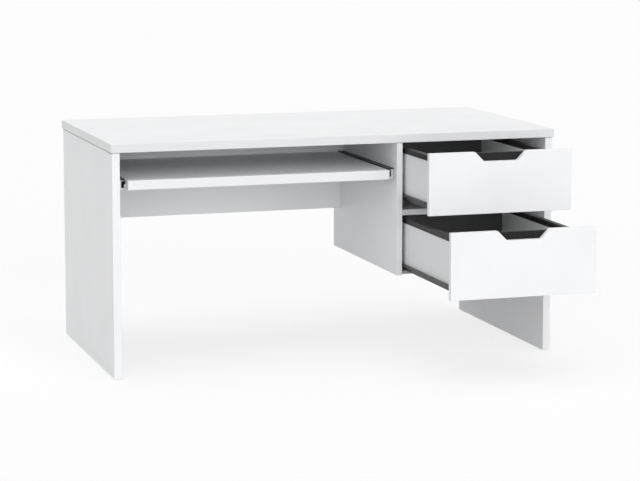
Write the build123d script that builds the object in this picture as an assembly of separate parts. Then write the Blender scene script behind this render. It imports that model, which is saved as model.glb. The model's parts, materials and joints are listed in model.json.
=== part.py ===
from build123d import *
import os

# Writing desk with two drawers and a keyboard tray, as the pieces it is put together from
# Millimetres: X to the right from the middle, Y from front to back, Z up from the floor

# Overall size and the boards of the carcass
desk_width = 1500.0
desk_depth = 780.0
desk_height = 750.0
top_thickness = 28.0
side_thickness = 25.0
side_overhang = 4.0  # top past the outer face of each side
front_setback = 4.0  # sides and divider behind the top's front edge
rear_setback = 6.0
divider_thickness = 19.0
divider_rear_inset = 116.0  # divider's rear edge in from the top's rear edge
pedestal_opening = 503.0  # clear width between the divider and the right side
back_thickness = 16.0
bottom_thickness = 12.0
rail_thickness = 19.0
rail_depth = 95.0
rail_drop = 12.5  # top of the rail under the upper front's lower edge
modesty_thickness = 19.0
modesty_height = 292.0
modesty_inset = 61.0  # modesty panel in from the divider's rear edge
edge_radius = 1.0
top_edge_radius = 1.5

# Glides under the sides and dowels between the boards
glide_diameter = 18.0
glide_height = 3.0
glide_inset = 40.0
glide_edge = 0.8
nail_diameter = 2.5
nail_length = 14.0
dowel_diameter = 8.0
dowel_length = 30.0
dowel_inset = 60.0  # first and last dowel in from a joint's ends
edge_dowel_count = 3  # along a board's long edge
end_dowel_count = 2
dowel_end_gap = 0.5
fixing_clearance = 0.05  # around a dowel, a nail or an axle

# Drawers
front_thickness = 18.0
front_side_gap = 7.0
front_rear_gap = 2.0  # closed front to the rail and to the runners
front_head_gap = 12.0  # upper front under the tabletop
front_gap = 26.0  # between the two fronts
upper_front_height = 199.0
lower_front_height = 212.0
upper_box_lift = 22.5  # side board's lower edge above the front's lower edge
lower_box_lift = 29.0
upper_open = 228.0  # how far the drawer is drawn out as shown
lower_open = 423.0
side_board = 16.0
drawer_rear_gap = 26.0  # closed drawer to the pedestal's back
drawer_back_drop = 3.0  # back's upper edge under the caps
drawer_bottom_thickness = 5.0
drawer_bottom_lift = 12.0
groove_depth = 6.0
groove_clearance = 0.2
groove_end_gap = 0.5

# Notch in the fronts and the grip shell behind it
notch_top_width = 177.0
notch_bottom_width = 115.0
notch_depth = 31.0
notch_inner_radius = 6.0
notch_outer_radius = 4.0
grip_margin = 8.0
grip_thickness = 3.0
grip_ledge = 14.0
grip_drop = 5.0  # upper grip's top under its front's top
grip_rail_gap = 1.0  # lower grip's top under the rail
grip_radius = 1.0

# Caps on the drawer sides
cap_wall = 1.5
cap_top = 2.5
cap_leg = 15.0
cap_radius = 0.7
cap_front_drop = 8.0  # upper drawer's cap under its front's top
cap_rail_gap = 6.5  # lower drawer's cap under the rail

# Roller runners, measured from the divider or a batten towards the drawer
batten_thickness = 48.0  # carries a right-hand runner, as the boxes are narrower than their fronts
batten_margin = 10.0  # batten above its runner
runner_gap = 12.5
runner_steel = 1.2
runner_front_inset = 15.0  # drawer runner behind the front's rear face
drawer_runner_height = 18.0
runner_lip = 5.0
runner_flange = 10.0
runner_foot = 10.0
cabinet_head_gap = 2.0  # cabinet runner's upper flange over the drawer runner
cabinet_upper_flange = 7.0
cabinet_floor_gap = 0.3  # lower cabinet runner over the bottom board
roller_diameter = 20.0
roller_width = 5.5
roller_offset = 4.5
roller_clearance = 0.4
roller_inset = 15.0
roller_edge = 0.5
axle_diameter = 5.0
axle_boss = 8.0
axle_head = 8.5
axle_head_thickness = 0.6
axle_gap = 0.3

# Keyboard tray and its ball slides, measured from the board towards the tray
tray_thickness = 30.0
tray_clear = 89.0  # free height over the tray
tray_side_gap = 26.0
tray_rear_gap = 30.0
slide_setback = 31.0
slide_height = 35.0
slide_steel = 1.5
slide_flange = 22.0
slide_lip = 1.5
inner_height = 24.0
inner_flange = 18.0
cage_clearance = 0.5
cage_length = 160.0
cage_start = 5.5
cage_web = 1.5
cage_end = 19.5
ball_count = 8
ball_diameter = 3.4
ball_pocket_clearance = 0.15
stop_length = 14.0
stop_web = 3.5

# Main planes, from the sizes above
reach = max(upper_open, lower_open) - front_setback  # drawn drawer past the top's front edge
top_front = (reach - desk_depth) / 2
top_rear = top_front + desk_depth
front_plane = top_front + front_setback
under_top = desk_height - top_thickness
right_outer = desk_width / 2 - side_overhang
right_face = right_outer - side_thickness
left_face = -right_face
divider_right = right_face - pedestal_opening
divider_left = divider_right - divider_thickness
divider_rear = top_rear - divider_rear_inset
back_front = divider_rear - back_thickness
modesty_rear = divider_rear - modesty_inset
modesty_front = modesty_rear - modesty_thickness
upper_front_top = under_top - front_head_gap
upper_front_bottom = upper_front_top - upper_front_height
lower_front_top = upper_front_bottom - front_gap
lower_front_bottom = lower_front_top - lower_front_height
upper_box_bottom = upper_front_bottom + upper_box_lift
lower_box_bottom = lower_front_bottom + lower_box_lift
rail_top = upper_front_bottom - rail_drop
rail_bottom = rail_top - rail_thickness
closed_rear = front_plane + front_thickness  # rear face of a closed front
carcass_front = closed_rear + front_rear_gap  # front edge of what stands behind the fronts
box_length = back_front - drawer_rear_gap - closed_rear
batten_face = right_face - batten_thickness
roller_radius = roller_diameter / 2
roller_lift = drawer_runner_height - runner_steel - roller_clearance - roller_radius
cabinet_floor = roller_lift - roller_radius - roller_clearance - runner_steel
cabinet_head = drawer_runner_height + cabinet_head_gap + runner_steel
pedestal_floor = lower_box_bottom + cabinet_floor - cabinet_floor_gap
pedestal_underside = pedestal_floor - bottom_thickness

parts = {}


def block(x, y, z):
    size = [high - low for low, high in (x, y, z)]
    middle = [(high + low) / 2 for low, high in (x, y, z)]
    return Pos(*middle) * Box(*size)


def board(x, y, z, radius=edge_radius):
    solid = block(x, y, z)
    return fillet(solid.edges(), radius)


def span(face, sense, near, far):
    # Limits of a stretch measured from a face; sense is +1 towards right or up and -1 towards left or down
    return tuple(sorted((face + sense * near, face + sense * far)))


def rod(x, y, z, radius):
    return Pos((x[0] + x[1]) / 2, y, z) * Rot(0, 90, 0) * Cylinder(radius, x[1] - x[0])


def spread(low, high, inset, count):
    # Evenly spaced places between two ends
    first = low + inset
    return [first + (high - low - 2 * inset) * step / (count - 1) for step in range(count)]


def make_carcass():
    side_y = (front_plane, top_rear - rear_setback)
    parts["tabletop"] = board(
        (-desk_width / 2, desk_width / 2), (top_front, top_rear), (under_top, desk_height), top_edge_radius)
    parts["side_left"] = board((-right_outer, left_face), side_y, (glide_height, under_top))
    parts["side_right"] = board((right_face, right_outer), side_y, (glide_height, under_top))
    parts["divider"] = board(
        (divider_left, divider_right), (front_plane, divider_rear), (pedestal_underside, under_top))
    parts["modesty_panel"] = board(
        (left_face, divider_left), (modesty_front, modesty_rear), (under_top - modesty_height, under_top))
    bay_x = (divider_right, right_face)
    parts["pedestal_back"] = board(bay_x, (back_front, divider_rear), (pedestal_underside, under_top))
    parts["pedestal_bottom"] = board(bay_x, (carcass_front, back_front), (pedestal_underside, pedestal_floor))
    parts["drawer_rail"] = board(bay_x, (carcass_front, carcass_front + rail_depth), (rail_bottom, rail_top))


def make_dowels():
    # Each seat: the point on the joint, the turn of the dowel's axis and the two boards that it joins
    upright = Rot(0, 0, 0)
    across = Rot(0, 90, 0)
    seats = []
    for node, x, rear in (
        ("side_left", (left_face - right_outer) / 2, top_rear - rear_setback),
        ("side_right", (right_face + right_outer) / 2, top_rear - rear_setback),
        ("divider", (divider_left + divider_right) / 2, divider_rear),
    ):
        for y in spread(front_plane, rear, dowel_inset, edge_dowel_count):
            seats.append((Pos(x, y, under_top), upright, ("tabletop", node)))
    modesty_y = (modesty_front + modesty_rear) / 2
    for node, x in (("side_left", left_face), ("divider", divider_left)):
        for z in spread(under_top - modesty_height, under_top, dowel_inset, end_dowel_count):
            seats.append((Pos(x, modesty_y, z), across, ("modesty_panel", node)))
    rail_y = carcass_front + rail_depth / 2
    rail_z = (rail_bottom + rail_top) / 2
    back_y = (back_front + divider_rear) / 2
    for node, x in (("divider", divider_right), ("side_right", right_face)):
        seats.append((Pos(x, rail_y, rail_z), across, ("drawer_rail", node)))
        for z in spread(pedestal_underside, under_top, dowel_inset, end_dowel_count):
            seats.append((Pos(x, back_y, z), across, ("pedestal_back", node)))
    bottom_z = (pedestal_underside + pedestal_floor) / 2
    for x in spread(divider_right, right_face, dowel_inset, edge_dowel_count):
        seats.append((Pos(x, back_front, bottom_z), Rot(90, 0, 0), ("pedestal_bottom", "pedestal_back")))
    hole = Cylinder(dowel_diameter / 2 + fixing_clearance, dowel_length + 2 * dowel_end_gap)
    dowel = Cylinder(dowel_diameter / 2, dowel_length)
    for place, turn, nodes in seats:
        for node in nodes:
            parts[node] -= place * turn * hole
    parts["panel_dowels"] = Compound(children=[place * turn * dowel for place, turn, nodes in seats])


def make_glides():
    pin = Cylinder(nail_diameter / 2, nail_length, align=(Align.CENTER, Align.CENTER, Align.MIN))
    hole = Cylinder(
        nail_diameter / 2 + fixing_clearance, nail_length + dowel_end_gap,
        align=(Align.CENTER, Align.CENTER, Align.MIN))
    disc = Cylinder(glide_diameter / 2, glide_height, align=(Align.CENTER, Align.CENTER, Align.MIN))
    disc = fillet(disc.edges().group_by(Axis.Z)[0], glide_edge)
    for side, x in (("left", (left_face - right_outer) / 2), ("right", (right_face + right_outer) / 2)):
        for end, y in (("front", front_plane + glide_inset), ("rear", top_rear - rear_setback - glide_inset)):
            parts[f"side_{side}"] -= Pos(x, y, glide_height) * hole
            parts[f"glide_{side}_{end}"] = Pos(x, y, 0) * disc + Pos(x, y, glide_height) * pin


def make_battens():
    y = (carcass_front, carcass_front + box_length)
    for level, foot, box_bottom in (
        ("upper", rail_top, upper_box_bottom),
        ("lower", pedestal_floor, lower_box_bottom),
    ):
        z = (foot, box_bottom + cabinet_head + batten_margin)
        parts[f"batten_{level}"] = board((batten_face, right_face), y, z)


def roller_span(face, sense):
    return span(face, sense, roller_offset, roller_offset + roller_width)


def make_roller(face, sense, y, z):
    wheel = rod(roller_span(face, sense), y, z, roller_radius)
    wheel = fillet(wheel.edges(), roller_edge)
    return wheel - rod(roller_span(face, sense), y, z, axle_diameter / 2 + fixing_clearance)


def make_axle(face, sense, y, z, seat, wheel_near, wheel_far):
    # Boss from the seat to the wheel, axle through the wheel, riveted head past it
    outward = 1 if wheel_far > wheel_near else -1
    boss_end = wheel_near - outward * axle_gap
    head_start = wheel_far + outward * axle_gap
    head_end = head_start + outward * axle_head_thickness
    axle = rod(span(face, sense, seat, boss_end), y, z, axle_boss / 2)
    axle += rod(span(face, sense, boss_end, head_start), y, z, axle_diameter / 2)
    return axle + rod(span(face, sense, head_start, head_end), y, z, axle_head / 2)


def make_cabinet_runner(label, face, sense, box_bottom):
    y = (carcass_front, carcass_front + box_length)
    low = box_bottom + cabinet_floor
    high = box_bottom + cabinet_head
    steel = runner_steel
    channel = block(span(face, sense, 0, steel), y, (low, high))
    channel += block(span(face, sense, 0, runner_flange), y, (low, low + steel))
    channel += block(span(face, sense, 0, cabinet_upper_flange), y, (high - steel, high))
    roller_y = carcass_front + roller_inset
    roller_z = box_bottom + roller_lift
    near, far = roller_offset, roller_offset + roller_width
    parts[f"cabinet_runner_{label}"] = channel + make_axle(face, sense, roller_y, roller_z, steel, near, far)
    parts[f"cabinet_roller_{label}"] = make_roller(face, sense, roller_y, roller_z)


def make_drawer_runner(label, face, sense, box_bottom, box_front):
    y = (box_front + runner_front_inset, box_front + box_length)
    steel = runner_steel
    low = box_bottom - steel
    high = box_bottom + drawer_runner_height
    inner = runner_gap - steel
    outer = runner_gap - runner_flange
    profile = block(span(face, sense, inner, runner_gap), y, (low, high))
    profile += block(span(face, sense, inner, runner_gap + runner_foot), y, (low, box_bottom))
    profile += block(span(face, sense, outer, runner_gap), y, (high - steel, high))
    profile += block(span(face, sense, outer, outer + steel), y, (high - runner_lip, high))
    roller_y = box_front + box_length - roller_inset
    roller_z = box_bottom + roller_lift
    near, far = roller_offset + roller_width, roller_offset
    parts[f"drawer_runner_{label}"] = profile + make_axle(face, sense, roller_y, roller_z, inner, near, far)
    parts[f"drawer_roller_{label}"] = make_roller(face, sense, roller_y, roller_z)


def make_front(bottom, top, front_rear):
    left = divider_right + front_side_gap
    right = right_face - front_side_gap
    middle = (left + right) / 2
    shoulder = notch_top_width / 2
    foot = notch_bottom_width / 2
    floor = top - notch_depth
    corners = [
        (left, bottom), (right, bottom), (right, top), (middle + shoulder, top), (middle + foot, floor),
        (middle - foot, floor), (middle - shoulder, top), (left, top)]
    outline = make_face(Polyline(*corners, close=True))
    inner = [
        corner for corner in outline.vertices()
        if abs(corner.X - middle) < shoulder and corner.Y < top - notch_depth / 2]
    outline = fillet(inner, notch_inner_radius)
    outer = [
        corner for corner in outline.vertices()
        if corner.Y > top - edge_radius and abs(abs(corner.X - middle) - shoulder) < edge_radius]
    outline = fillet(outer, notch_outer_radius)
    front = extrude(Pos(0, front_rear, 0) * (Plane.XZ * outline), amount=front_thickness)
    rims = front.faces().sort_by(Axis.Y)
    return fillet(rims[0].edges() + rims[-1].edges(), edge_radius)


def make_grip(top, head, front_rear):
    half = notch_top_width / 2 + grip_margin
    middle = (divider_right + right_face) / 2
    foot = top - notch_depth - grip_margin
    x = (middle - half, middle + half)
    shell = block(x, (front_rear, front_rear + grip_thickness), (foot, head))
    shell += block(x, (front_rear, front_rear + grip_ledge), (head - grip_thickness, head))
    return fillet(shell.edges().filter_by(Axis.X).group_by(Axis.Z)[-1], grip_radius)


def make_cap(x, y, board_top):
    outside = block((x[0] - cap_wall, x[1] + cap_wall), y, (board_top - cap_leg, board_top + cap_top))
    outside = fillet(outside.edges().filter_by(Axis.Y).group_by(Axis.Z)[-1], cap_radius)
    return outside - block(x, y, (board_top - cap_leg, board_top))


def make_drawer(level, front_bottom, front_top, grip_top, box_bottom, board_top, drawn):
    box_front = closed_rear - drawn
    box_rear = box_front + box_length
    left_x = span(divider_right, 1, runner_gap, runner_gap + side_board)
    right_x = span(batten_face, -1, runner_gap, runner_gap + side_board)
    box_y = (box_front, box_rear)
    floor_low = box_bottom + drawer_bottom_lift
    floor_high = floor_low + drawer_bottom_thickness
    groove_x = (left_x[1] - groove_depth, right_x[0] + groove_depth)
    groove = block(groove_x, box_y, (floor_low, floor_high + groove_clearance))
    floor_x = (groove_x[0] + groove_end_gap, groove_x[1] - groove_end_gap)
    back_z = (floor_high, board_top - cap_leg - drawer_back_drop)
    parts[f"{level}_drawer_front"] = make_front(front_bottom, front_top, box_front)
    parts[f"{level}_drawer_grip"] = make_grip(front_top, grip_top, box_front)
    parts[f"{level}_drawer_bottom"] = block(floor_x, box_y, (floor_low, floor_high))
    parts[f"{level}_drawer_back"] = board((left_x[1], right_x[0]), (box_rear - side_board, box_rear), back_z)
    for hand, x, face, sense in (("left", left_x, divider_right, 1), ("right", right_x, batten_face, -1)):
        parts[f"{level}_drawer_side_{hand}"] = block(x, box_y, (box_bottom, board_top)) - groove
        parts[f"{level}_drawer_cap_{hand}"] = make_cap(x, box_y, board_top)
        make_cabinet_runner(f"{level}_{hand}", face, sense, box_bottom)
        make_drawer_runner(f"{level}_{hand}", face, sense, box_bottom, box_front)


def make_slide(hand, face, sense, slide_y, middle):
    half = slide_height / 2
    steel = slide_steel
    race = half - steel  # inner face of the outer member's flanges
    inner_half = inner_height / 2
    outer = block(span(face, sense, 0, steel), slide_y, (middle - half, middle + half))
    inner_start = tray_side_gap - inner_flange
    inner_web = span(face, sense, tray_side_gap - steel, tray_side_gap)
    inner = block(inner_web, slide_y, (middle - inner_half, middle + inner_half))
    strip = (inner_half + cage_clearance, race - cage_clearance)
    cage_middle = (slide_y[0] + slide_y[1]) / 2
    cage_y = (cage_middle - cage_length / 2, cage_middle + cage_length / 2)
    web_x = span(face, sense, cage_start, cage_start + cage_web)
    cage = block(web_x, cage_y, (middle - strip[1], middle + strip[1]))
    stop_y = (slide_y[0], slide_y[0] + stop_length)
    stop = block(span(face, sense, steel, steel + stop_web), stop_y, (middle - race, middle + race))
    balls = []
    for up in (1, -1):
        flange_x = span(face, sense, 0, slide_flange)
        lip_x = span(face, sense, slide_flange - steel, slide_flange)
        inner_x = span(face, sense, inner_start, tray_side_gap)
        outer += block(flange_x, slide_y, span(middle, up, race, half))
        outer += block(lip_x, slide_y, span(middle, up, race - slide_lip, race))
        inner += block(inner_x, slide_y, span(middle, up, inner_half - steel, inner_half))
        cage += block(span(face, sense, cage_start, cage_end), cage_y, span(middle, up, *strip))
        stop += block(span(face, sense, steel, cage_end), stop_y, span(middle, up, strip[0], race))
        ball_x = face + sense * (cage_start + cage_web + cage_end) / 2
        ball_z = middle + up * (strip[0] + strip[1]) / 2
        for y in spread(*cage_y, cage_length / ball_count / 2, ball_count):
            pocket = Cylinder(ball_diameter / 2 + ball_pocket_clearance, strip[1] - strip[0])
            cage -= Pos(ball_x, y, ball_z) * pocket
            balls.append(Pos(ball_x, y, ball_z) * Sphere(ball_diameter / 2))
    parts[f"tray_outer_slide_{hand}"] = outer
    parts[f"tray_inner_slide_{hand}"] = inner
    parts[f"tray_ball_cage_{hand}"] = cage
    parts[f"tray_balls_{hand}"] = Compound(children=balls)
    parts[f"tray_slide_stop_{hand}"] = stop


def make_tray():
    top = under_top - tray_clear
    x = (left_face + tray_side_gap, divider_left - tray_side_gap)
    y = (front_plane, modesty_front - tray_rear_gap)
    parts["tray_board"] = board(x, y, (top - tray_thickness, top))
    slide_y = (front_plane + slide_setback, y[1])
    middle = top - tray_thickness / 2
    make_slide("left", left_face, 1, slide_y, middle)
    make_slide("right", divider_left, -1, slide_y, middle)


make_carcass()
make_dowels()
make_glides()
make_battens()
upper_board_top = upper_front_top - cap_front_drop - cap_top
lower_board_top = rail_bottom - cap_rail_gap - cap_top
upper_grip_top = upper_front_top - grip_drop
lower_grip_top = rail_bottom - grip_rail_gap
make_drawer(
    "upper", upper_front_bottom, upper_front_top, upper_grip_top,
    upper_box_bottom, upper_board_top, upper_open)
make_drawer(
    "lower", lower_front_bottom, lower_front_top, lower_grip_top,
    lower_box_bottom, lower_board_top, lower_open)
make_tray()

os.makedirs("parts", exist_ok=True)
for node, solid in parts.items():
    export_step(solid, f"parts/{node}.step")
print(len(parts), "nodes, divider ends", round(pedestal_underside, 1), "mm above the floor")
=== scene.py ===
import json
import math
import bmesh
import bpy
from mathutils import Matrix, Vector


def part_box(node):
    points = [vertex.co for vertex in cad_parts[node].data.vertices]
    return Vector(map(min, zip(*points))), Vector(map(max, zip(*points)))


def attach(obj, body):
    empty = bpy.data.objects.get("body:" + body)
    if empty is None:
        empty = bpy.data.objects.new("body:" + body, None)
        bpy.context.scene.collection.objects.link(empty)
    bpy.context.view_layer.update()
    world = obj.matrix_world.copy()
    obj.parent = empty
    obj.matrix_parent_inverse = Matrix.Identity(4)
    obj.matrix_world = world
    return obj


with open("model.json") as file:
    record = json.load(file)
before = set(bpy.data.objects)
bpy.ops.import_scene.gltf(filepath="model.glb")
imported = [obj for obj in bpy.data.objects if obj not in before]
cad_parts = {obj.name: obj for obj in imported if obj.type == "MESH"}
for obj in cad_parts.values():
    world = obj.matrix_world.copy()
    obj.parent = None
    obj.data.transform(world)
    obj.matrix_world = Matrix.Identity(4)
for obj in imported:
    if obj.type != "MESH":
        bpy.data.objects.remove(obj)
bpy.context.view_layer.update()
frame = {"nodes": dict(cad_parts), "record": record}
nodes = frame["nodes"]
slotOf = {row["node"]: row["material_slot"] for row in frame["record"]["subparts"]}
levels = ("upper", "lower")  # the two drawers
hands = ("left", "right")


class Wire:
    # a socket in a node tree; Python operators on it add Math nodes
    def __init__(self, tree, socket):
        self.tree = tree
        self.socket = socket

    def math(self, operation, *others):
        return self.tree.math(operation, self, *others)

    def __add__(self, other):
        return self.math("ADD", other)

    def __sub__(self, other):
        return self.math("SUBTRACT", other)

    def __rsub__(self, other):
        return self.tree.math("SUBTRACT", other, self)

    def __mul__(self, other):
        return self.math("MULTIPLY", other)

    def __truediv__(self, other):
        return self.math("DIVIDE", other)

    def __rtruediv__(self, other):
        return self.tree.math("DIVIDE", other, self)

    def __abs__(self):
        return self.math("ABSOLUTE")

    __radd__ = __add__
    __rmul__ = __mul__

    def least(self, other):
        return self.math("MINIMUM", other)

    def most(self, other):
        return self.math("MAXIMUM", other)

    def clamped(self):
        return self.least(1.0).most(0.0)

    def asShare(self, contrast, middle=0.5):  # noise about 0, spread over 0 to 1
        return (self * contrast + middle).clamped()

    def twin(self, name):  # another output of the same node
        return Wire(self.tree, self.socket.node.outputs[name])


class Tree:
    # a node tree; node() makes any node, its settings first and then its sockets
    def __init__(self, tree):
        self.tree = tree

    def node(self, kind, settings=None, sockets=None, out=0):
        made = self.tree.nodes.new(kind)
        for key, value in (settings or {}).items():
            setattr(made, key, value)
        for key, value in (sockets or {}).items():
            for item in value if isinstance(value, list) else [value]:
                if isinstance(item, Wire):
                    self.tree.links.new(item.socket, made.inputs[key])
                else:
                    made.inputs[key].default_value = item
        return Wire(self, made.outputs[out]) if len(made.outputs) else None

    def math(self, operation, *values):
        return self.node("ShaderNodeMath", {"operation": operation}, dict(enumerate(values)))

    def vector(self, **parts):
        return self.node("ShaderNodeCombineXYZ", sockets=parts)

    def axes(self, vector):  # its X; Y and Z are twins
        return self.node("ShaderNodeSeparateXYZ", sockets={0: vector})


def toned(color, share):
    return tuple(min(1.0, part * share) for part in color) + (1.0,)


class Finish(Tree):
    # one material, on Object coordinates in metres
    def __init__(self, name):
        self.material = bpy.data.materials.new(name)
        self.material.use_nodes = True
        super().__init__(self.material.node_tree)
        self.tree.nodes.clear()
        self.place = self.node("ShaderNodeTexCoord", out="Object")

    def noise(self, size, detail, stretch=(1.0, 1.0, 1.0)):
        # smooth noise about 0; size is the width of a blob, stretch draws it out along an axis
        scale = tuple(1.0 / (size * axis) for axis in stretch)
        laid = self.node("ShaderNodeMapping", sockets={"Vector": self.place, "Scale": scale})
        value = self.node("ShaderNodeTexNoise", sockets={"Vector": laid, "Scale": 1.0, "Detail": detail})
        return value - 0.5  # the texture itself lies about 0.5

    def mix(self, amount, first, second):  # by number, because the node repeats its sockets' names
        return self.node("ShaderNodeMix", {"data_type": "RGBA"}, {0: amount, 6: first, 7: second}, out=2)

    def mottled(self, share, color, change):  # a colour that wanders a little to either side
        return self.mix(share, toned(color, 1.0 - change), toned(color, 1.0 + change))

    def bump(self, height, depth):
        return self.node("ShaderNodeBump", sockets={"Height": height, "Distance": depth, "Strength": 1.0})

    def surface(self, **sockets):
        named = {key.replace("_", " "): value for key, value in sockets.items()}
        shader = self.node("ShaderNodeBsdfPrincipled", sockets=named)
        self.node("ShaderNodeOutputMaterial", sockets={"Surface": shader})
        return self.material


# boards: white melamine with a fine pearl grain and a thin edge band
boardLook = {
    "color": (0.862, 0.866, 0.876),
    "gloss": 0.45,
    "roughness": 0.40,
    "cloudSize": 0.16,
    "cloudDetail": 3.0,
    "cloudContrast": 2.0,
    "cloudChange": 0.016,
    "smudgesPerCloud": 3.0,
    "smudgeDetail": 4.0,
    "smudgeRoughness": 0.10,
    "pearlSize": 0.0012,
    "pearlDetail": 3.0,
    "pearlDepth": 0.00006,
    "bandThickness": 0.0010,
    "bandRoughness": 0.33,
    # painted shade: the edge bands of these boards are toned darker to stand in for the shade on those
    # edges
    "bandShadeTones": {"tabletop": 0.86, "tray_board": 0.94, "divider": 0.90, "pedestal_bottom": 0.40},
    "seamWidth": 0.00022,
    "seamDark": 0.86,
    "jointWidth": 0.0016,  # painted shade: a dark line where a board meets the tabletop's underside
    "jointShadeTone": 0.12,
    "jointBoards": ("side_left", "side_right", "divider", "modesty_panel", "pedestal_back"),
    "overhangWidth": 0.0048,  # painted shadow, wider on the outer faces, under the top's overhang
    "overhangFade": 0.0014,
    "overhangShadowTone": 0.22,
    "outerFaces": {"side_left": 0, "side_right": 1},  # which of a side's two corners lies outside
}


def edgeDistance(finish, name):
    # how far a point of a board is from its nearest banded edge
    low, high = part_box(name)
    middle, half = (low + high) / 2, (high - low) / 2
    thin = min(range(3), key=lambda axis: half[axis])
    place = finish.axes(finish.place)
    reach = [half[axis] - abs(place.twin("XYZ"[axis]) - middle[axis]) for axis in range(3) if axis != thin]
    return reach[0].least(reach[1])


def shadeUnderTop(finish, name, color):
    # painted shade: a thin dark line along a board's upper edge, and a wider painted shadow under the
    # overhang on an outer face
    look = boardLook
    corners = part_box(name)
    place = finish.axes(finish.place)
    drop = corners[1].z - place.twin("Z")
    if name in look["outerFaces"]:
        depth = abs(place.twin("X") - corners[look["outerFaces"][name]].x)
        onFace = ((look["bandThickness"] - depth) / look["seamWidth"]).clamped()
        shade = ((look["overhangWidth"] - drop) / look["overhangFade"]).clamped() * onFace
        color = finish.mix(shade, color, toned(look["color"], look["overhangShadowTone"]))
    line = ((look["jointWidth"] - drop) / look["seamWidth"]).clamped()
    return finish.mix(line, color, toned(look["color"], look["jointShadeTone"]))


def whiteBoard(name):
    look = boardLook
    finish = Finish("whiteBoard_" + name)
    rim = edgeDistance(finish, name)
    seam = (1.0 - abs(rim - look["bandThickness"]) / look["seamWidth"]).clamped()
    onBand = ((look["bandThickness"] - rim) / look["seamWidth"]).clamped()
    cloud = finish.noise(look["cloudSize"], look["cloudDetail"]).asShare(look["cloudContrast"])
    face = finish.mottled(cloud, look["color"], look["cloudChange"])
    # painted shade: on some boards the edge band is toned darker than the face
    band = toned(look["color"], look["bandShadeTones"].get(name, 1.0))
    color = finish.mix(seam, finish.mix(onBand, face, band), toned(look["color"], look["seamDark"]))
    # painted shade along the joint under the tabletop, and painted shadow under the overhang
    if name in look["jointBoards"]:
        color = shadeUnderTop(finish, name, color)
    smudge = finish.noise(look["cloudSize"] / look["smudgesPerCloud"], look["smudgeDetail"])
    plain = look["roughness"] + smudge * look["smudgeRoughness"]
    roughness = plain + onBand * (look["bandRoughness"] - look["roughness"])
    pearl = finish.noise(look["pearlSize"], look["pearlDetail"]) * (1.0 - onBand)
    return finish.surface(
        Base_Color=color, Roughness=roughness, Specular_IOR_Level=look["gloss"],
        Normal=finish.bump(pearl, look["pearlDepth"]))


# drawer boxes: foil-wrapped sides and backs, and a thin coated bottom; the backs are near-black, as painted
# shade deep in the drawers
foilLooks = {
    "drawer_board": {"color": (0.80, 0.805, 0.812), "change": 0.02, "roughness": 0.47},
    # painted shade: the drawer backs are near-black to stand in for the shade deep inside the drawers
    "graphite_board": {"color": (0.075, 0.076, 0.079), "change": 0.10, "roughness": 0.55},
}
foilGrain = {
    "size": 0.0016,
    "detail": 3.0,
    "stretch": (1.0, 40.0, 1.0),
    "contrast": 2.0,
    "depth": 0.00004,
    "cloudSize": 0.05,
    "cloudDetail": 3.0,
    "cloudRoughness": 0.12,
}


def foilBoard(slot):
    look, grain = foilLooks[slot], foilGrain
    finish = Finish(slot)
    lines = finish.noise(grain["size"], grain["detail"], grain["stretch"])
    color = finish.mottled(lines.asShare(grain["contrast"]), look["color"], look["change"])
    cloud = finish.noise(grain["cloudSize"], grain["cloudDetail"])
    return finish.surface(
        Base_Color=color, Roughness=look["roughness"] + cloud * grain["cloudRoughness"],
        Normal=finish.bump(lines, grain["depth"]))


baseLook = {
    "color": (0.80, 0.80, 0.80),
    "roughness": 0.52,
    "clothSize": 0.0021,  # press-cloth marks of hardboard
    "clothDepth": 0.00008,
    "clothRoughness": 0.03,
    "cloudSize": 0.09,
    "cloudDetail": 4.0,
    "cloudContrast": 2.0,
    "cloudChange": 0.03,
}


def drawerBase():
    look = baseLook
    finish = Finish("coatedHardboard")
    turns = 2.0 * math.pi / look["clothSize"]
    place = finish.axes(finish.place)
    cloth = (place.twin("X") * turns).math("SINE") * (place.twin("Y") * turns).math("SINE")
    cloud = finish.noise(look["cloudSize"], look["cloudDetail"]).asShare(look["cloudContrast"])
    return finish.surface(
        Base_Color=finish.mottled(cloud, look["color"], look["cloudChange"]),
        Roughness=look["roughness"] + cloth * look["clothRoughness"],
        Normal=finish.bump(cloth, look["clothDepth"]))


# mouldings: one function for the plastics, each with its own grain
plasticLooks = {
    "charcoal_plastic": {
        "color": (0.012, 0.0128, 0.0124), "worn": 1.5, "grain": 0.0009, "depth": 0.00008,
        "roughness": 0.52, "gloss": 0.36},
    # a darker, less glossy copy of the charcoal plastic for the grips; its darker colour is painted shade
    # in the grip notches
    "grip_plastic": {
        "color": (0.0092, 0.0092, 0.0096), "worn": 1.5, "grain": 0.0009, "depth": 0.00008,
        "roughness": 0.50, "gloss": 0.22},
    "black_plastic": {
        "color": (0.009, 0.009, 0.0095), "worn": 1.6, "grain": 0.0007, "depth": 0.00004,
        "roughness": 0.38, "gloss": 0.4},
    "roller_nylon": {
        "color": (0.72, 0.72, 0.69), "worn": 0.86, "grain": 0.0011, "depth": 0.00003,
        "roughness": 0.36, "gloss": 0.5},
    "glide_plastic": {
        "color": (0.63, 0.63, 0.62), "worn": 0.80, "grain": 0.0010, "depth": 0.00005,
        "roughness": 0.45, "gloss": 0.5},
}
plasticWear = {
    "patchSize": 0.035,  # where hands and dust have worn the grain
    "patchDetail": 4.0,
    "patchContrast": 3.0,
    "patchMiddle": 0.35,
    "grainDetail": 2.0,
    "grainRoughness": 0.08,
    "rubSize": 0.012,
    "rubDetail": 3.0,
    "rubRoughness": 0.16,
}


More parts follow.
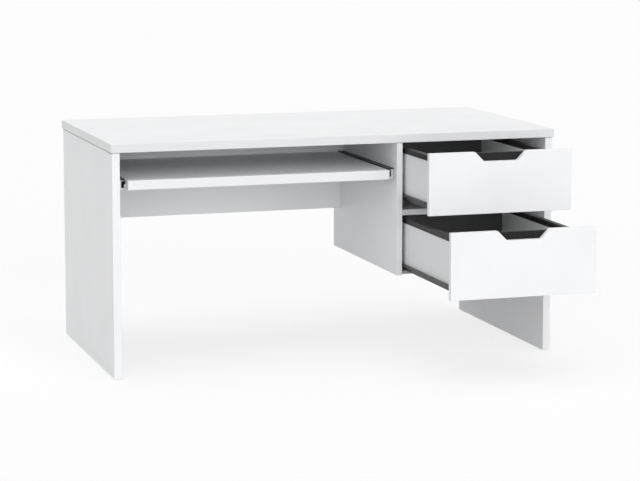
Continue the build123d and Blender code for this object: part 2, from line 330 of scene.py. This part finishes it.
def plastic(slot):
    look, wear = plasticLooks[slot], plasticWear
    finish = Finish(slot)
    patch = finish.noise(wear["patchSize"], wear["patchDetail"])
    worn = patch.asShare(wear["patchContrast"], wear["patchMiddle"])
    grain = finish.noise(look["grain"], wear["grainDetail"])
    rub = finish.noise(wear["rubSize"], wear["rubDetail"])
    return finish.surface(
        Base_Color=finish.mix(worn, toned(look["color"], 1.0), toned(look["color"], look["worn"])),
        Roughness=look["roughness"] + rub * wear["rubRoughness"] + grain * wear["grainRoughness"],
        Specular_IOR_Level=look["gloss"], Normal=finish.bump(grain, look["depth"]))


# steel: powder-coated runners, zinc-plated slides, polished balls
coatLook = {
    "color": (0.035, 0.036, 0.035),
    "metallic": 0.15,
    "roughness": 0.42,
    "peelSize": 0.0022,  # orange peel of the powder coat
    "peelDetail": 2.0,
    "peelDepth": 0.00010,
    "fleckTone": 1.5,
    "fleckSize": 0.0008,
    "fleckDetail": 1.0,
    "fleckLimit": 0.12,  # only the peaks of the noise are flecks
    "fleckContrast": 9.0,
    "fleckShare": 0.6,
    "rubSize": 0.02,
    "rubDetail": 3.0,
    "rubRoughness": 0.15,
}


def powderCoat():
    look = coatLook
    finish = Finish("powderCoat")
    peel = finish.noise(look["peelSize"], look["peelDetail"])
    peaks = finish.noise(look["fleckSize"], look["fleckDetail"]) - look["fleckLimit"]
    flecks = (peaks * look["fleckContrast"]).clamped() * look["fleckShare"]
    rub = finish.noise(look["rubSize"], look["rubDetail"])
    return finish.surface(
        Base_Color=finish.mix(flecks, toned(look["color"], 1.0), toned(look["color"], look["fleckTone"])),
        Roughness=look["roughness"] + rub * look["rubRoughness"], Metallic=look["metallic"],
        Normal=finish.bump(peel, look["peelDepth"]))


zincLook = {
    "color": (0.66, 0.67, 0.685),
    "roughness": 0.30,
    "streakSize": 0.0007,
    "streakDetail": 3.0,
    "streakStretch": (1.0, 90.0, 1.0),
    "streakDepth": 0.00003,
    "streakRoughness": 0.25,
    "bloomSize": 0.018,
    "bloomDetail": 4.0,
    "bloomContrast": 2.5,
    "bloomTones": (0.80, 1.05),
    "bloomRoughness": 0.06,
}


def zinc():
    look = zincLook
    finish = Finish("zincPlate")
    streak = finish.noise(look["streakSize"], look["streakDetail"], look["streakStretch"])
    bloom = finish.noise(look["bloomSize"], look["bloomDetail"]).asShare(look["bloomContrast"])
    dull, bright = (toned(look["color"], tone) for tone in look["bloomTones"])
    return finish.surface(
        Base_Color=finish.mix(bloom, dull, bright), Metallic=1.0,
        Roughness=look["roughness"] + streak * look["streakRoughness"] + bloom * look["bloomRoughness"],
        Normal=finish.bump(streak, look["streakDepth"]))


ballLook = {
    "dull": (0.70, 0.70, 0.71, 1.0),
    "bright": (0.80, 0.80, 0.80, 1.0),
    "roughness": 0.10,
    "filmSize": 0.004,  # a thin film of grease
    "filmDetail": 3.0,
    "filmContrast": 2.0,
    "filmRoughness": 0.10,
}


def ballSteel():
    look = ballLook
    finish = Finish("ballSteel")
    film = finish.noise(look["filmSize"], look["filmDetail"]).asShare(look["filmContrast"])
    return finish.surface(
        Base_Color=finish.mix(film, look["dull"], look["bright"]), Metallic=1.0,
        Roughness=look["roughness"] + film * look["filmRoughness"])


# dowels: plain beech
beechLook = {
    "light": (0.66, 0.50, 0.32, 1.0),
    "dark": (0.50, 0.35, 0.20, 1.0),
    "roughness": 0.62,
    "grainSize": 0.0011,
    "grainDetail": 4.0,
    "grainRoughness": 0.1,
    "grainDepth": 0.00005,
    "ringSize": 0.0066,
    "ringDetail": 2.0,
    "ringContrast": 3.0,
}


def beech():
    look = beechLook
    finish = Finish("beech")
    grain = finish.noise(look["grainSize"], look["grainDetail"])
    rings = finish.noise(look["ringSize"], look["ringDetail"]).asShare(look["ringContrast"])
    return finish.surface(
        Base_Color=finish.mix((rings + grain).clamped(), look["light"], look["dark"]),
        Roughness=look["roughness"] + grain * look["grainRoughness"],
        Normal=finish.bump(grain, look["grainDepth"]))


finishes = {
    "drawer_base": drawerBase(), "runner_steel": powderCoat(), "zinc_steel": zinc(),
    "ball_steel": ballSteel(), "dowel_wood": beech(),
    **{slot: foilBoard(slot) for slot in foilLooks},
    **{slot: plastic(slot) for slot in plasticLooks},
}


def finishOf(name):
    if slotOf[name] == "white_board":
        return whiteBoard(name)
    return finishes["grip_plastic" if name.endswith("_grip") else slotOf[name]]


for name, node in nodes.items():
    node.data.materials.clear()
    node.data.materials.append(finishOf(name))
print("finishes:", len(bpy.data.materials), "materials")


# small hardware, grown by Geometry Nodes on points that carry the way they face
class Growth(Tree):
    # a Geometry Nodes tree with named inputs; what it makes is realized and given its material
    def __init__(self, name, inputs):
        group = bpy.data.node_groups.new(name, "GeometryNodeTree")
        super().__init__(group)
        group.interface.new_socket("Geometry", in_out="OUTPUT", socket_type="NodeSocketGeometry")
        kinds = {
            "Geometry": "NodeSocketGeometry", "Material": "NodeSocketMaterial", "Seed": "NodeSocketInt"}
        for label in ["Geometry", *inputs, "Material"]:
            group.interface.new_socket(
                label, in_out="INPUT", socket_type=kinds.get(label, "NodeSocketFloat"))
        self.points = self.node("NodeGroupInput")

    def given(self, label):
        return self.points.twin(label)

    def place(self):
        return self.axes(self.node("GeometryNodeInputPosition"))

    def box(self, x, y, z, counts=(2, 2, 2)):
        steps = {"Vertices " + axis: count for axis, count in zip("XYZ", counts)}
        return self.node("GeometryNodeMeshCube", sockets={"Size": self.vector(X=x, Y=y, Z=z), **steps})

    def lifted(self, shape, height):
        return self.node(
            "GeometryNodeTransform", sockets={"Geometry": shape, "Translation": self.vector(Z=height)})

    def shaped(self, shape, x, y, z):
        place = self.vector(X=x, Y=y, Z=z)
        return self.node("GeometryNodeSetPosition", sockets={"Geometry": shape, "Position": place})

    def scatter(self, shape, **turned):
        copies = self.node(
            "GeometryNodeInstanceOnPoints", sockets={"Points": self.points, "Instance": shape, **turned})
        whole = self.node("GeometryNodeRealizeInstances", sockets={"Geometry": copies})
        coated = self.node(
            "GeometryNodeSetMaterial", sockets={"Geometry": whole, "Material": self.given("Material")})
        self.node("NodeGroupOutput", sockets={"Geometry": coated})


headLook = {
    "sides": 20,
    "rings": 4,
    "crossWidth": 1.1,  # of the head's radius
    "slitWidth": 0.2,
}


def screwTree():
    # domed head with a cross recess, on each point, along its facing, turned at random about its own axis
    look = headLook
    growth = Growth("screwHeads", ["Head Radius", "Head Height", "Dome", "Recess", "Seed"])
    radius, height, recess = (growth.given(label) for label in ("Head Radius", "Head Height", "Recess"))
    disc = growth.node("GeometryNodeMeshCone", {"fill_type": "NGON"}, {
        "Vertices": look["sides"], "Side Segments": look["rings"],
        "Radius Top": radius, "Radius Bottom": radius, "Depth": height})
    place = growth.place()
    rise = place.twin("Z") / height
    drawnIn = (1.0 - rise * rise * growth.given("Dome")).math("SQRT")
    head = growth.shaped(disc, place.twin("X") * drawnIn, place.twin("Y") * drawnIn, place.twin("Z"))
    arm, slit = radius * look["crossWidth"], radius * look["slitWidth"]
    deep = recess * 2.0  # a bar lies half in the head and half over it
    cross = [growth.box(arm, slit, deep), growth.box(slit, arm, deep)]
    cut = growth.node("GeometryNodeMeshBoolean", {"operation": "DIFFERENCE", "solver": "EXACT"}, {
        "Mesh 1": head, "Mesh 2": [growth.lifted(bar, height) for bar in cross]})
    facing = growth.node(
        "GeometryNodeInputNamedAttribute", {"data_type": "FLOAT_VECTOR"}, {"Name": "facing"})
    upright = growth.node("FunctionNodeAlignRotationToVector", {"axis": "Z"}, {"Vector": facing})
    turn = growth.node(  # sockets 2 and 3 and output 1 are the ones for a plain number
        "FunctionNodeRandomValue", {"data_type": "FLOAT"},
        {2: 0.0, 3: math.pi, "Seed": growth.given("Seed")}, out=1)
    spin = growth.node("FunctionNodeEulerToRotation", sockets={0: growth.vector(Z=turn)})
    way = growth.node(
        "FunctionNodeRotateRotation", {"rotation_space": "LOCAL"}, {"Rotation": upright, "Rotate By": spin})
    growth.scatter(cut, Rotation=way)
    return growth.tree


gripLook = {"plate": 0.003, "ledge": 0.003}  # how thick a grip's two walls are
ribLook = {
    "size": {"Thickness": 0.0018, "Depth": 0.0100, "Drop": 0.0200},
    "steps": (2, 7, 2),  # points along a rib's thickness, depth and drop
    "weld": 0.00001,
    "reach": 0.066,  # either side of the grip's middle
    "count": 6,
}


def ribTree():
    # hollow-cheeked gussets between a grip's plate and its ledge
    growth = Growth("gripRibs", ["Thickness", "Depth", "Drop"])
    depth, drop = growth.given("Depth"), growth.given("Drop")
    slab = growth.box(growth.given("Thickness"), depth, drop, ribLook["steps"])
    place = growth.place()
    across = place.twin("Y") / depth + 0.5  # 0 at the plate, 1 at the ledge's lip
    down = 0.5 - place.twin("Z") / drop  # 0 under the ledge, 1 at the rib's foot
    under = down * (1.0 - across) * (1.0 - across)
    rib = growth.shaped(slab, place.twin("X"), across * depth, under * drop * -1.0)
    growth.scatter(growth.node(
        "GeometryNodeMergeByDistance", sockets={"Geometry": rib, "Distance": ribLook["weld"]}))
    return growth.tree


def grown(name, group, seats, body, slot, finish, **sizes):
    # seats are points with the way they face
    mesh = bpy.data.meshes.new(name)
    mesh.from_pydata([point for point, facing in seats], [], [])
    facings = mesh.attributes.new("facing", "FLOAT_VECTOR", "POINT")
    for item, (point, facing) in zip(facings.data, seats):
        item.vector = facing
    piece = bpy.data.objects.new(name, mesh)
    bpy.context.scene.collection.objects.link(piece)
    modifier = piece.modifiers.new(name, "NODES")
    modifier.node_group = group
    values = {key.replace("_", " "): value for key, value in sizes.items()}
    values["Material"] = finish
    for socket in group.interface.items_tree:
        if socket.in_out == "INPUT" and socket.name in values:
            modifier[socket.identifier] = values[socket.name]
    shape = piece.evaluated_get(bpy.context.evaluated_depsgraph_get())
    whole = bpy.data.meshes.new_from_object(shape)
    piece.modifiers.remove(modifier)
    piece.data = whole
    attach(piece, body)


screwLook = {
    "head": {"Head_Radius": 0.0034, "Head_Height": 0.0010, "Dome": 0.55, "Recess": 0.0006},
    "seed": 7,
    "runner": {"thickness": 0.0012, "inset": 0.055, "count": 4},  # inset from its two ends
    "slide": {"thickness": 0.0015, "inset": 0.045, "count": 4},
    "batten": {"thickness": 0.048, "inset": 0.110, "count": 3, "drop": 0.0052},  # above the runner on it
    "footInset": 0.005,  # in from a drawer runner's inner edge
    "gripReach": 0.080,  # either side of the grip's middle
    "gripLift": 0.012,
    "backDepth": 0.008,  # screws into the middle of a drawer's back
    "backInset": 0.025,
    "bottomInset": 0.060,
    "bottomCount": 4,
}
camLook = {
    "head": {"Head_Radius": 0.0075, "Head_Height": 0.0004, "Dome": 0.03, "Recess": 0.0002},
    "seed": 11,
    "setback": 0.024,  # behind the drawer's front
    "lowLift": 0.045,
    "highDrop": 0.042,
    "boardInset": 0.034,  # a carcass cam's middle from the edge that it pulls on
    "topDrop": 0.046,  # lower under the tabletop, out of sight over the drawn drawer
    "topInset": 0.095,  # first and last cam under the tabletop, from a board's ends
    "topCount": 3,
    "endInset": 0.092,  # a panel's end cams from its upper and lower edges
    "railOffset": 0.025,  # rail cam behind the rail's middle
}


def spread(low, high, inset, count):
    return [low + inset + (high - low - 2.0 * inset) * step / (count - 1) for step in range(count)]


def wallSeats(name, right, thickness, inset, count, drop=None):
    # a row of screws along a runner or batten that lies on a board, facing away from the board
    low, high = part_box(name)
    x, facing = (high.x - thickness, (-1.0, 0.0, 0.0)) if right else (low.x + thickness, (1.0, 0.0, 0.0))
    z = high.z - drop if drop else (low.z + high.z) / 2.0
    return [((x, y, z), facing) for y in spread(low.y, high.y, inset, count)]


def frameSeats():
    look = screwLook
    seats = []
    for hand in hands:
        for level in levels:
            seats += wallSeats(f"cabinet_runner_{level}_{hand}", hand == "right", **look["runner"])
        seats += wallSeats(f"tray_outer_slide_{hand}", hand == "right", **look["slide"])
    for level in levels:
        seats += wallSeats(f"batten_{level}", True, **look["batten"])
    return seats


def traySeats():
    seats = []
    for hand in hands:
        seats += wallSeats(f"tray_inner_slide_{hand}", hand == "left", **screwLook["slide"])
    return seats


def drawerSeats(level):
    look = screwLook
    seats = []
    backLow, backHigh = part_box(f"{level}_drawer_back")
    for hand, outward in zip(hands, (-1.0, 1.0)):
        low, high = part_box(f"drawer_runner_{level}_{hand}")
        x = high.x - look["footInset"] if hand == "left" else low.x + look["footInset"]
        rows = spread(low.y, high.y, look["runner"]["inset"], look["runner"]["count"])
        seats += [((x, y, low.z), (0.0, 0.0, -1.0)) for y in rows]
        low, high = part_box(f"{level}_drawer_side_{hand}")
        x = low.x if hand == "left" else high.x
        for z in (backLow.z + look["backInset"], backHigh.z - look["backInset"]):
            seats.append(((x, high.y - look["backDepth"], z), (outward, 0.0, 0.0)))
    low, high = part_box(f"{level}_drawer_grip")
    for side in (-1.0, 1.0):
        x = (low.x + high.x) / 2.0 + side * look["gripReach"]
        seats.append(((x, low.y + gripLook["plate"], low.z + look["gripLift"]), (0.0, 1.0, 0.0)))
    low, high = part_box(f"{level}_drawer_bottom")
    for x in spread(low.x, high.x, look["bottomInset"], look["bottomCount"]):
        seats.append(((x, high.y - look["backDepth"], low.z), (0.0, 0.0, -1.0)))
    return seats


def drawerCamSeats(level):
    look = camLook
    seats = []
    for hand, inward in zip(hands, (1.0, -1.0)):
        low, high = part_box(f"{level}_drawer_side_{hand}")
        x = high.x if hand == "left" else low.x
        for z in (low.z + look["lowLift"], high.z - look["highDrop"]):
            seats.append(((x, low.y + look["setback"], z), (inward, 0.0, 0.0)))
    return seats


def carcassCamSeats():
    # on faces that the front doesn't show: under the top, at the panels' ends, under rail and bottom
    look = camLook
    inset = look["boardInset"]
    seats = []
    for name, inward in (("side_left", 1.0), ("side_right", -1.0), ("divider", 1.0)):
        low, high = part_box(name)
        x = high.x if inward > 0.0 else low.x
        for y in spread(low.y, high.y, look["topInset"], look["topCount"]):
            seats.append(((x, y, high.z - look["topDrop"]), (inward, 0.0, 0.0)))
    for name in ("modesty_panel", "pedestal_back"):
        low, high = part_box(name)
        for x in (low.x + inset, high.x - inset):
            for z in (low.z + look["endInset"], high.z - look["endInset"]):
                seats.append(((x, high.y, z), (0.0, 1.0, 0.0)))
    railLow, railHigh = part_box("drawer_rail")
    railY = (railLow.y + railHigh.y) / 2.0 + look["railOffset"]
    bottomLow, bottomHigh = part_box("pedestal_bottom")
    for low, high, y in ((railLow, railHigh, railY), (bottomLow, bottomHigh, bottomHigh.y - inset)):
        for x in (low.x + inset, high.x - inset):
            seats.append(((x, y, low.z), (0.0, 0.0, -1.0)))
    return seats


def ribSeats(level):
    look = ribLook
    low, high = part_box(f"{level}_drawer_grip")
    middle = (low.x + high.x) / 2.0
    y, z = low.y + gripLook["plate"], high.z - gripLook["ledge"]
    rows = spread(middle - look["reach"], middle + look["reach"], 0.0, look["count"])
    return [((x, y, z), (0.0, 0.0, 1.0)) for x in rows]


screwHeads, gripRibs = screwTree(), ribTree()
screws = {"desk_frame": frameSeats(), "keyboard_tray": traySeats()}
cams = {"desk_frame": carcassCamSeats()}
for level in levels:
    body = f"{level}_drawer"
    screws[body] = drawerSeats(level)
    cams[body] = drawerCamSeats(level)
    grown(
        f"gripRibs_{body}", gripRibs, ribSeats(level), body, "charcoal_plastic", finishes["grip_plastic"],
        **ribLook["size"])
for kind, look, rows in (("screws", screwLook, screws), ("cams", camLook, cams)):
    for body, seats in rows.items():
        grown(
            f"{kind}_{body}", screwHeads, seats, body, "zinc_steel", finishes["zinc_steel"],
            Seed=look["seed"], **look["head"])
    print("hardware:", sum(len(seats) for seats in rows.values()), kind)


# light bumpers on the front ends of the tray's inner slides, just in front of the outer slides
bumperLook = {
    "thickness": 0.0020,
    "clearance": 0.0003,  # in front of the outer slide's end
    "reach": 0.0245,  # from the tray's end outwards
    "stripWidth": 0.0090,
    "stripTop": 0.0140,  # heights from the slide's middle
    "footTop": -0.0115,
    "footBottom": -0.0172,
    "tabReach": 0.0070,
    "tabTop": 0.0010,
    "tabBottom": -0.0095,
    "web": 0.0015,
    "cornerRadius": 0.0006,
    "cornerSteps": 3,
    "rim": 0.0003,
    "rimSteps": 2,
    "round": 0.5,  # bevel profile of a true arc
}


def bumperOutline():
    # distance from the tray's end, height from the slide's middle
    look = bumperLook
    reach, strip, tab, web = (look[key] for key in ("reach", "stripWidth", "tabReach", "web"))
    return [
        (0.0, look["footBottom"]), (0.0, look["tabTop"]), (tab, look["tabTop"]), (tab, look["tabBottom"]),
        (web, look["tabBottom"]), (web, look["footTop"]), (reach - strip, look["footTop"]),
        (reach - strip, look["stripTop"]), (reach, look["stripTop"]), (reach, look["footBottom"])]


def rounded(shape, edges, radius, steps):
    bmesh.ops.bevel(
        shape, geom=edges, offset=radius, segments=steps, profile=bumperLook["round"], affect="EDGES",
        clamp_overlap=True)


def throughEdge(edge):  # one that runs from the front face to the rear face
    return abs(edge.verts[0].co.y - edge.verts[1].co.y) > bumperLook["rim"]


def slideBumper(hand):
    look = bumperLook
    low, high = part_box(f"tray_inner_slide_{hand}")
    tray, outward = (high.x, -1.0) if hand == "left" else (low.x, 1.0)
    middle = (low.z + high.z) / 2.0
    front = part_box(f"tray_outer_slide_{hand}")[0].y - look["clearance"]
    shape = bmesh.new()
    rear = [shape.verts.new((tray + outward * d, front, middle + z)) for d, z in bumperOutline()]
    rise = bmesh.ops.extrude_face_region(shape, geom=[shape.faces.new(rear)])["geom"]
    raised = [item for item in rise if isinstance(item, bmesh.types.BMVert)]
    bmesh.ops.translate(shape, verts=raised, vec=(0.0, -look["thickness"], 0.0))
    bmesh.ops.recalc_face_normals(shape, faces=shape.faces)
    corners = [edge for edge in shape.edges if throughEdge(edge)]
    rounded(shape, corners, look["cornerRadius"], look["cornerSteps"])
    rims = [edge for edge in shape.edges if not throughEdge(edge)]
    rounded(shape, rims, look["rim"], look["rimSteps"])
    name = f"slideBumper_{hand}"
    mesh = bpy.data.meshes.new(name)
    shape.to_mesh(mesh)
    shape.free()
    mesh.materials.append(finishes["glide_plastic"])
    piece = bpy.data.objects.new(name, mesh)
    bpy.context.scene.collection.objects.link(piece)
    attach(piece, "keyboard_tray")


for hand in hands:
    slideBumper(hand)
print("slide bumpers in place")


# floor, light and camera
white = (1.0, 1.0, 1.0, 1.0)
floorLook = {
    "halfSize": 60.0,
    "seen": (0.97, 0.97, 0.97, 1.0),  # to the camera and in reflections
    "seenGlow": 0.75,  # share of plain white in what the camera sees
    "bounce": (0.72, 0.72, 0.72, 1.0),  # what it throws back up at the desk
}
lightLook = {
    "sky": 0.45,
    "spread": 55.0,  # how wide each soft light is, in degrees
    "lights": {  # compass turn to the right of the front, height, level on a white card that faces it
        "overhead": (-10.0, 82.0, 0.378),
        "frontWall": (5.0, 2.0, 0.622),
        "leftWall": (-50.0, 15.0, 0.188),
    },
    "noGlare": ("frontWall",),  # left out of reflections, so that the top keeps its tone from behind
}
cameraLook = {
    "place": (-2.236, -6.9325, 1.541),
    "turnRight": 17.82,
    "tiltDown": 7.38,
    "lens": 125.16,
    "sensor": 36.0,
    "shift": -0.10,
    "farthest": 300.0,
}


def seenRay(tree):
    path = tree.node("ShaderNodeLightPath", out="Is Camera Ray")
    return path.most(path.twin("Is Glossy Ray")).most(path.twin("Is Transmission Ray"))


def makeFloor():
    look = floorLook
    half = look["halfSize"]
    mesh = bpy.data.meshes.new("floor")
    corners = [(-half, -half, 0.0), (half, -half, 0.0), (half, half, 0.0), (-half, half, 0.0)]
    mesh.from_pydata(corners, [], [(0, 1, 2, 3)])
    floor = bpy.data.objects.new("floor", mesh)
    bpy.context.scene.collection.objects.link(floor)
    finish = Finish("paleFloor")
    seen = seenRay(finish)
    color = finish.mix(seen, look["bounce"], look["seen"])
    paint = finish.node("ShaderNodeBsdfDiffuse", sockets={"Color": color})
    glow = finish.node("ShaderNodeEmission", sockets={"Color": white, "Strength": 1.0})
    both = finish.node("ShaderNodeMixShader", sockets={0: seen * look["seenGlow"], 1: paint, 2: glow})
    finish.node("ShaderNodeOutputMaterial", sockets={"Surface": both})
    mesh.materials.append(finish.material)


def makeLight():
    look = lightLook
    world = bpy.data.worlds.new("studio")
    bpy.context.scene.world = world
    world.use_nodes = True
    sky = Tree(world.node_tree)
    sky.tree.nodes.clear()
    level = seenRay(sky) * (1.0 - look["sky"]) + look["sky"]  # plain white where it is seen
    glow = sky.node("ShaderNodeBackground", sockets={"Color": white, "Strength": level})
    sky.node("ShaderNodeOutputWorld", sockets={"Surface": glow})
    for name, (turn, height, strength) in look["lights"].items():
        lamp = bpy.data.lights.new(name, "SUN")
        lamp.energy = strength * math.pi
        lamp.angle = math.radians(look["spread"])
        sun = bpy.data.objects.new(name, lamp)
        turn, height = math.radians(turn), math.radians(height)
        flat = math.cos(height)
        source = Vector((math.sin(turn) * flat, -math.cos(turn) * flat, math.sin(height)))
        sun.rotation_euler = source.to_track_quat("Z", "Y").to_euler()
        sun.visible_glossy = name not in look["noGlare"]
        bpy.context.scene.collection.objects.link(sun)


def makeCamera():
    look = cameraLook
    data = bpy.data.cameras.new("view")
    data.sensor_width = look["sensor"]
    data.lens = look["lens"]
    data.shift_y = look["shift"]
    data.clip_end = look["farthest"]
    camera = bpy.data.objects.new("view", data)
    camera.location = look["place"]
    camera.rotation_euler = (math.radians(90.0 - look["tiltDown"]), 0.0, -math.radians(look["turnRight"]))
    bpy.context.scene.collection.objects.link(camera)
    bpy.context.scene.camera = camera


makeFloor()
makeLight()
makeCamera()
bpy.context.scene.view_settings.view_transform = "Standard"
print("floor, light and camera in place")
